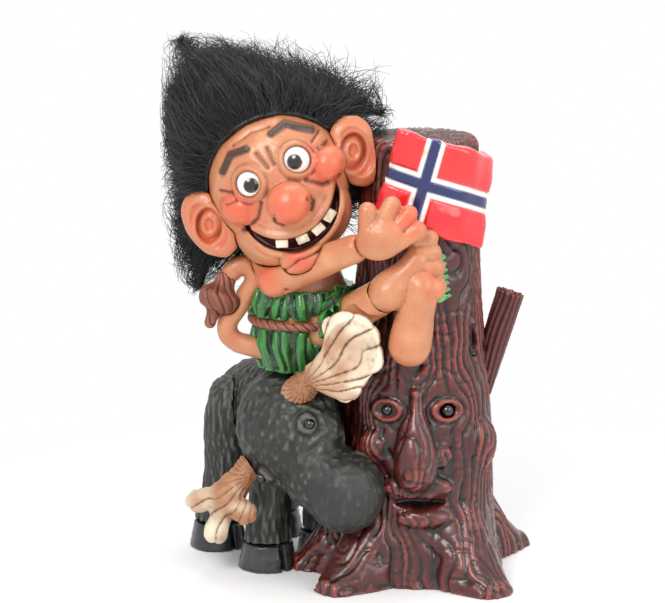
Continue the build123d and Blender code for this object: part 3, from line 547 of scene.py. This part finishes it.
headGrooves = [
    ([(-11, 27), (0, 29), (11, 27)], 0.9, 0.8), ([(-8, 24), (0, 25.5), (7, 24.3)], 0.8, 0.8),
    ([(-8, 1), (-12, -4), (-19, -6)], 1.1, 0.9), ([(11, 1), (15.5, -4), (22, -4)], 1.1, 0.9),
    ([(-5.5, -4), (-6.3, -7), (-4, -9.2)], 1.0, 0.8), ([(9, -4), (9.6, -7), (7.5, -9.2)], 1.0, 0.8),
    ([(-1.2, 18), (0.2, 12)], 0.9, 0.8), ([(3.2, 18), (3.0, 12)], 0.9, 0.8),
    ([(-12, -25.5), (-5, -23.6), (3, -24.6)], 0.9, 0.9), ([(-16, 9), (-20, 11)], 0.8, 0.7),
    ([(-16, 6), (-20, 6)], 0.8, 0.7), ([(19, 12), (23, 14)], 0.8, 0.7),
    ([(19.5, 9), (23.5, 9)], 0.8, 0.7),
]


def flatDistance(places, path):
    best = np.full(len(places), 1e9)
    for start, end in zip(path, path[1:]):
        start, end = np.array(start, float), np.array(end, float)
        run = end - start
        share = np.clip((places - start) @ run / (run @ run), 0, 1)
        best = np.minimum(best, np.linalg.norm(places - start - share[:, None] * run, axis=1))
    return best


def arcDistance(places, path):
    # How far places lie outside the circle through three points.
    (ax, ay), (bx, by), (cx, cy) = path
    sides = [[2 * (bx - ax), 2 * (by - ay)], [2 * (cx - ax), 2 * (cy - ay)]]
    squares = [bx * bx + by * by - ax * ax - ay * ay, cx * cx + cy * cy - ax * ax - ay * ay]
    middle = np.linalg.solve(sides, squares)
    return np.linalg.norm(places - middle, axis=1) - math.dist(middle, (ax, ay))


def carveHead(points, normals):
    relief = latticeNoise(points, 6, 41) * 0.3
    relief -= np.clip(latticeNoise(points, 1.1, 43) - 0.45, 0, 1) * 0.3
    for eye in trollEyes:
        reach = np.linalg.norm(points - eye, axis=1)
        relief += 0.7 * bell(reach - 6.0, 0.9) - 0.3 * bell(reach - 7.7, 0.7)
    places, front = facePlaces(points)
    lips = 0.9 * bell(arcDistance(places, smilePath) + 1.3, 1.1)
    lips += 0.9 * bell(arcDistance(places, lowerLipPath) - 1.3, 1.1)
    relief += lips * front * (places[:, 1] < -1) * smoothStep(20, 16, np.abs(places[:, 0] - 1))
    for path, height, width in headRidges:
        relief += height * bell(flatDistance(places, path), width) * front
    for path, depth, width in headGrooves:
        relief -= depth * bell(flatDistance(places, path), width) * front
    return relief


def blush(points, spots):
    share = np.zeros(len(points))
    for place, reach in spots:
        share = np.maximum(share, smoothStep(reach * 1.15, 0, np.linalg.norm(points - place, axis=1)))
    return share


headBlush = [(headPlace(1.7, -30, -3), 13), (headPlace(-16, -18, 2.5), 12), (headPlace(19, -17, 2.5), 12),
             (headPlace(-5, -22, -24), 7)]


def skinColour(points, normals, cavity, spots=()):
    low, high, warm, red, creaseShade = [linear(*shade) for shade in skinShades.values()]
    base = blendColours(low, high, latticeNoise(points, 7, 3) * 0.5 + 0.5)
    base = blendColours(base, warm, latticeNoise(points, 4, 8) * 0.3 + 0.15)
    if len(spots):
        base = blendColours(base, red, blush(points, spots) * 0.9)
    # Painted shade in the creases and hollows of the skin.
    return blendColours(base, creaseShade, smoothStep(0.1, 1.5, -cavity) * 0.9)


def headColour(points, normals, cavity):
    colours = skinColour(points, normals, cavity, headBlush)
    places, front = facePlaces(points)
    for path in browPaths:
        colours = blendColours(colours, browShade,
                               smoothStep(1.8, 0.9, flatDistance(places, path)) * front * 0.92)
    inside = smoothStep(-0.3, 0.3, arcDistance(places, smilePath))
    inside = inside * smoothStep(0.3, -0.3, arcDistance(places, lowerLipPath))
    colours = blendColours(colours, mouthShade, inside * front * (places[:, 1] < -3))
    # Painted shade in a ring just inside each lid, where it meets the eyeball.
    for eye in trollEyes:
        reach = np.linalg.norm(points - eye, axis=1)
        colours = blendColours(colours, lidShade, bell(reach - 5.2, 0.7) * 0.6)
    return colours


carvedPiece("troll_head", skinPaint, headLook, carveHead, headColour)

skinCreases = [
    [(-44, -40, 123), (-41, -41, 121), (-39, -36, 117)],
    [(-38, -41, 126), (-35, -41, 123), (-34, -36, 119)],
    [(-50, -26, 115), (-48, -27, 110)], [(-60, -18, 104), (-47, -21, 102), (-34, -18, 104)],
]


def carveSkin(points, normals):
    relief = latticeNoise(points, 5, 51) * 0.3
    relief -= np.clip(latticeNoise(points, 1.1, 53) - 0.45, 0, 1) * 0.25
    for path in skinCreases:
        relief -= 0.8 * bell(pathDistance(points, path), 0.9)
    return relief


plainSkin = ("troll_torso", "troll_right_arm", "troll_right_hand",
             "troll_left_leg", "troll_left_foot", "troll_tail")
skinSpots = {
    "troll_left_foot": [((2, -31, 116), 9), ((-4, -31, 94), 9)],
    "troll_right_hand": [((-5, -38, 142), 9)],
    "troll_right_arm": [((-55, -22, 117), 8)],
}
for name in plainSkin:
    spots = [(np.array(place, float), reach) for place, reach in skinSpots.get(name, [])]
    carvedPiece(name, skinPaint, skinLook, carveSkin,
                lambda points, normals, cavity, spots=spots: skinColour(points, normals, cavity, spots))


earLook = {"voxel": 0.42, "rounds": 3, "relief": 0.22, "calm": 12}


def earCarver(middle):
    def carve(points, normals):
        reach = np.hypot(points[:, 0] - middle[0], (points[:, 2] - middle[2]) * 0.72)
        front = smoothStep(-0.1, -0.5, normals[:, 1])
        folds = bell(reach - 5.6, 0.8) - bell(reach - 4.0, 0.8) + bell(reach - 2.4, 0.8)
        return 0.9 * folds * front + latticeNoise(points, 4, 61) * 0.3 - 0.2
    return carve


def earColour(points, normals, cavity):
    # The folds turn redder, and the deepest hollows get a painted shade.
    base = blendColours(linear(204, 126, 88), linear(206, 78, 48), smoothStep(0.5, -1.6, cavity))
    return blendColours(base, linear(92, 36, 22), smoothStep(0.8, 2.6, -cavity) * 0.9)


for name in ("troll_ear_left", "troll_ear_right"):
    middle = np.mean([np.array(corner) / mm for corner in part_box(name)], axis=0)
    carvedPiece(name, skinPaint, earLook, earCarver(middle), earColour)


# Troll: tuft, clothes

tuftLook = {"voxel": 0.42, "rounds": 2, "relief": 0.2}


def carveTuft(points, normals):
    turn = np.arctan2(points[:, 1] + 9, points[:, 0] + 74)
    return -((1 - np.abs(np.sin(turn * 5 + points[:, 2] * 0.25))) ** 2) * 0.9


def brownColour(points, normals, cavity):
    # Painted highlight on the raised strands and painted shade between them.
    base = blendColours(linear(122, 66, 50), linear(168, 104, 80), smoothStep(0.1, 1.2, cavity))
    return blendColours(base, linear(40, 18, 12), smoothStep(0.1, 1.3, -cavity))


carvedPiece("tail_tuft", antlerPaint, tuftLook, carveTuft, brownColour)


def carveRope(points, normals):
    turn = np.arctan2(points[:, 1] + 3, points[:, 0] + 44)
    twist = np.arctan2(points[:, 2] - 98.5, np.hypot(points[:, 1] + 3, points[:, 0] + 44) - 19.1)
    return -((1 - np.abs(np.sin(turn * 17 + twist))) ** 2) * 0.6


ropeLook = {"voxel": 0.32, "rounds": 1, "relief": 0.12}
carvedPiece("rope_belt", antlerPaint, ropeLook, carveRope, brownColour)

skirtLook = {"voxel": 0.5, "rounds": 3, "relief": 0.3, "calm": 12}


def carveSkirt(points, normals):
    side = smoothStep(0.15, 0.6, 1 - np.abs(normals[:, 2]))
    turn = np.arctan2(points[:, 1] + 3, points[:, 0] + 44)
    pleats = -((1 - np.abs(np.sin(turn * 11 + latticeNoise(points, 9, 71) * 1.6))) ** 1.6) * 1.5
    flap = smoothStep(-33, -27, points[:, 0])  # where the folds turn to run down the thigh
    run = points[:, 0] * 0.45 - points[:, 2] * 0.9
    folds = -((1 - np.abs(np.sin(run * 0.55 + latticeNoise(points, 9, 73)))) ** 1.6) * 1.4
    return (pleats * (1 - flap) + folds * flap) * side


def skirtColour(points, normals, cavity):
    # Painted highlight on the crests of the folds and painted shade down in them.
    base = blendColours(linear(18, 62, 28), linear(48, 138, 50), smoothStep(-0.1, 1.1, cavity))
    return blendColours(base, linear(14, 34, 18), smoothStep(0.1, 1.5, -cavity) * 0.95)


carvedPiece("skirt_upper", leafPaint, skirtLook, carveSkirt, skirtColour)
carvedPiece("skirt_lower", leafPaint, skirtLook, carveSkirt, skirtColour)
carvedPiece("skirt_flap", leafPaint, skirtLook, carveSkirt, skirtColour)
print("clothes made")

carvedPiece("troll_teeth", glossPaint, {"voxel": 0.25, "rounds": 3, "relief": 0.2},
            lambda points, normals: np.zeros(len(points)),
            lambda points, normals, cavity: blendColours(
                linear(240, 232, 208), linear(200, 170, 120), latticeNoise(points, 1.5, 3) * 0.4 + 0.2))


# Eyes: smooth balls whose colour follows the angle from the way they look

def eyeBall(node, gaze, rings):
    low, high = [np.array(corner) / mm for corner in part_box(node)]
    centre, radius = (low + high) / 2, (high - low).min() / 2
    form = bmesh.new()
    bmesh.ops.create_uvsphere(form, u_segments=96, v_segments=64, radius=radius * mm,
                              matrix=Matrix.Translation(Vector(centre * mm)))
    mesh = bpy.data.meshes.new("look_" + node)
    form.to_mesh(mesh)
    form.free()
    way = (readPoints(mesh) / mm - centre) / radius
    angle = np.degrees(np.arccos(np.clip(way @ (np.array(gaze) / np.linalg.norm(gaze)), -1, 1)))
    colours = np.tile(linear(*rings[-1][1]), (len(angle), 1))
    for limit, shade in reversed(rings[:-1]):
        colours = blendColours(colours, linear(*shade), smoothStep(limit + 1.5, limit - 1.5, angle))
    addTint(mesh, colours)
    showPiece("look_" + node, mesh, glossPaint, node)


trollRings = [(29, (8, 6, 6)), (35, (110, 60, 30)), (180, (244, 242, 236))]
eyeBall("troll_eye_left", (-0.12, -1, 0.02), trollRings)
eyeBall("troll_eye_right", (0.08, -1, -0.02), trollRings)
beadRings = [(180, (10, 8, 8))]
for name, slotName in (("stump_eye_left", "stump_bead"), ("stump_eye_right", "stump_bead"),
                       ("moose_eye_left", "moose_bead"), ("moose_eye_right", "moose_bead")):
    eyeBall(name, (0, -1, 0), beadRings)
print("eyes made")


# Hair: a dark core, and strands gathered in locks

hairLook = {"strands": 26000, "perPiece": 6000, "points": 5, "thickness": 0.16, "locks": 150,
            "low": (14, 17, 18), "high": (52, 58, 58)}
darkCore = lambda points, normals, cavity: blendColours(
    linear(10, 12, 12), linear(20, 22, 22), latticeNoise(points, 3, 3) * 0.5 + 0.5)
hide = carvedPiece("hair_hide", furFibre, {"voxel": 0.8, "rounds": 2, "relief": 0.3},
            lambda points, normals: np.full(len(points), -0.1), darkCore)
fur = carvedPiece("hair_fur", furFibre, {"voxel": 1.3, "rounds": 3, "relief": 0.5},
            lambda points, normals: latticeNoise(points * [1, 1, 0.4], 5, 81) * 1.4 - 2.6, darkCore)

chosenTips = [
    ((-93, 2, 208), 9), ((-78, 4, 207), 8), ((-100, 4, 192), 8), ((-97, 4, 172), 8), ((-96, 2, 146), 8),
    ((-88, 2, 122), 7), ((-85, 0, 107), 6), ((-62, 6, 200), 7), ((-49, 4, 194), 6), ((-34, 4, 188), 6),
    ((-9, 2, 173), 4), ((-22, 4, 180), 5), ((-84, 10, 200), 9), ((-70, 16, 196), 9),
    ((-90, 14, 180), 9), ((-90, 14, 158), 9), ((-84, 12, 135), 9), ((-60, 20, 186), 9),
    ((-70, 24, 165), 9), ((-48, 20, 170), 8),
]
skullCentre = headPlace(0, 0, 3.6)
def outerPlaces(piece):
    # Places on the outside of a piece, and the way out from the skull at each.
    places = readPoints(piece.data) / mm
    ways = (places - skullCentre) / np.linalg.norm(places - skullCentre, axis=1)[:, None]
    normals = readPoints(piece.data, "normal")
    facing = (np.sum(ways * normals, axis=1) > 0.1) | (normals[:, 1] < -0.4)
    return places[facing], ways[facing]


sources = [outerPlaces(hide), outerPlaces(fur)]
furTree = KDTree(len(fur.data.vertices))
for number, vertex in enumerate(fur.data.vertices):
    furTree.insert(vertex.co / mm, number)
furTree.balance()
bare = np.array([furTree.find(place)[2] > 1.6 for place in sources[0][0]])
sources.append((sources[0][0][bare], sources[0][1][bare]))
print("bare places on the hide", bare.sum())


locks = []
boxLow, boxHigh = [np.array(corner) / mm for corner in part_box("hair_fur")]
boxLow[1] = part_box("hair_hide")[0][1] / mm - 3
while len(locks) < hairLook["locks"]:
    if len(locks) < 3 * len(chosenTips):
        tip, spread = chosenTips[len(locks) % len(chosenTips)]
        tip = np.array(tip, float) + rng.normal(0, 2.2, 3)
    else:
        tip = rng.uniform(boxLow + 3, boxHigh - 3)
        spread = 8
        if tip[1] < 0 or np.linalg.norm((tip - [-68, 8, 165]) / [30, 22, 42]) > 1:
            continue
    locks.append((np.clip(tip, boxLow + 1, boxHigh - 1), spread))

tips = np.array([tip for tip, spread in locks])
tipWays = (tips - skullCentre) / np.linalg.norm(tips - skullCentre, axis=1)[:, None]
strandLines = []
for number in range(hairLook["strands"]):
    kind = (0, 1, 1, 2, 0)[number % 5]
    places, ways = sources[kind]
    place = rng.integers(len(places))
    root, outward = places[place], ways[place]
    chosen = np.argmax(tipWays @ outward * 7 + rng.gumbel(size=len(tips)))
    tip, spread = locks[chosen]
    reach = rng.uniform(0.55, 1.02) if number % 3 else rng.uniform(0.25, 0.6)
    end = root + (tip - root) * reach + rng.normal(0, spread * 0.2, 3)
    if kind:
        weight = (0.55, 1.1)[kind - 1]
        toTip = (tip - root) / np.linalg.norm(tip - root)
        lean = toTip * (1.5 - weight) + outward * weight + rng.normal(0, 0.22, 3)
        end = root + lean * rng.uniform(5, 14)
    inset = rng.uniform(0, 7, 3)
    run = end - root
    room = np.where(run > 0, boxHigh + [3, 0, 0] - inset - root, boxLow + inset - root)
    room = room / np.where(run == 0, 1, run)
    end = root + run * np.clip(room.min(), 0.15, 1)
    length = np.linalg.norm(end - root)
    middle = root + outward * length * 0.4 + (end - root) * 0.2 + rng.normal(0, 1.2, 3)
    late = root + (end - root) * 0.75 + outward * length * 0.12 + rng.normal(0, 1.1, 3)
    share = np.linspace(0, 1, hairLook["points"])[:, None]
    near = 1 - share
    line = near ** 3 * root + 3 * near ** 2 * share * middle
    line = line + 3 * near * share ** 2 * late + share ** 3 * end
    strandLines.append(np.clip(line, boxLow, boxHigh + [3, 0, 0]))

for start in range(0, len(strandLines), hairLook["perPiece"]):
    pile = bpy.data.curves.new("pile", "CURVE")
    pile.dimensions = "3D"
    pile.bevel_depth = hairLook["thickness"] * mm
    pile.bevel_resolution = 0
    for line in strandLines[start:start + hairLook["perPiece"]]:
        strand = pile.splines.new("POLY")
        strand.points.add(len(line) - 1)
        rows = np.ones((len(line), 4))
        rows[:, :3] = line * mm
        strand.points.foreach_set("co", rows.ravel())
        strand.points.foreach_set("radius", np.linspace(1, 0.18, len(line)))
    holder = bpy.data.objects.new("pile", pile)
    bpy.context.scene.collection.objects.link(holder)
    graph = bpy.context.evaluated_depsgraph_get()
    mesh = bpy.data.meshes.new_from_object(holder.evaluated_get(graph))
    bpy.data.objects.remove(holder)
    points = readPoints(mesh) / mm
    sheen = smoothStep(0.1, 0.9, latticeNoise(points, 2.2, 91))
    addTint(mesh, blendColours(linear(*hairLook["low"]), linear(*hairLook["high"]), sheen))
    showPiece("fur_strands_" + str(start // hairLook["perPiece"]), mesh, furFibre, None)
print("hair made", len(strandLines))


# Stage, light and camera

def plainMaterial(name, colour, rough):
    material = bpy.data.materials.new(name)
    material.use_nodes = True
    shader = material.node_tree.nodes["Principled BSDF"]
    shader.inputs["Base Color"].default_value = (*colour, 1)
    shader.inputs["Roughness"].default_value = rough
    return material


floorForm = bmesh.new()
bmesh.ops.create_grid(floorForm, x_segments=1, y_segments=1, size=3)
floorMesh = bpy.data.meshes.new("floor")
floorForm.to_mesh(floorMesh)
floorForm.free()
floorPaint = plainMaterial("floorPaint", (0.97, 0.97, 0.97), 0.8)
ground = Shade(floorPaint.node_tree)
seen = backgroundRays(ground)
away = ground.node("VectorMath", "Value", {"operation": "LENGTH"},
                   Vector=ground.node("TexCoord", "Object"))
share = seen * ground.node("MapRange", "Result", {"interpolation_type": "SMOOTHSTEP"}, Value=away,
                           From_Min=0.08, From_Max=0.24)
glow = ground.node("Emission", "Emission", Strength=1.0)
floorTree = floorPaint.node_tree
mixed = floorTree.nodes.new("ShaderNodeMixShader")
ground.feed(mixed.inputs[0], share)
floorTree.links.new(floorTree.nodes["Principled BSDF"].outputs[0], mixed.inputs[1])
floorTree.links.new(glow.socket, mixed.inputs[2])
floorTree.links.new(mixed.outputs[0], floorTree.nodes["Material Output"].inputs["Surface"])
floorMesh.materials.append(floorPaint)
floor = bpy.data.objects.new("floor", floorMesh)
bpy.context.scene.collection.objects.link(floor)

world = bpy.data.worlds.new("room")
bpy.context.scene.world = world
world.use_nodes = True
world.node_tree.nodes["Background"].inputs["Color"].default_value = (1, 1, 1, 1)
world.node_tree.nodes["Background"].inputs["Strength"].default_value = 0.5
room = Shade(world.node_tree)
backdrop = room.node("Background", "Background", Color=(1, 1, 1, 1), Strength=1.0)
choice = world.node_tree.nodes.new("ShaderNodeMixShader")
room.feed(choice.inputs[0], backgroundRays(room))
world.node_tree.links.new(world.node_tree.nodes["Background"].outputs[0], choice.inputs[1])
world.node_tree.links.new(backdrop.socket, choice.inputs[2])
world.node_tree.links.new(choice.outputs[0], world.node_tree.nodes["World Output"].inputs["Surface"])


def softLight(name, place, target, size, power):
    lamp = bpy.data.lights.new(name, "AREA")
    lamp.size = size
    lamp.energy = power
    holder = bpy.data.objects.new(name, lamp)
    holder.location = place
    holder.rotation_euler = (Vector(target) - Vector(place)).to_track_quat("-Z", "Y").to_euler()
    bpy.context.scene.collection.objects.link(holder)


softLight("key", (-0.35, -0.75, 0.75), (-0.03, 0, 0.1), 0.45, 7)
softLight("fill", (0.7, -0.5, 0.5), (-0.03, 0, 0.1), 0.6, 3)
softLight("top", (0.0, 0.15, 0.95), (-0.03, 0, 0.1), 0.6, 4)

camera = bpy.data.objects.new("camera", bpy.data.cameras.new("camera"))
camera.location = (-0.0325, -0.970, 0.307)
camera.rotation_euler = (math.radians(90 - 11.83), 0, 0)
camera.data.lens = 141.2
camera.data.sensor_width = 36
bpy.context.scene.collection.objects.link(camera)
bpy.context.scene.camera = camera
bpy.context.scene.view_settings.view_transform = "Standard"

print("ready")
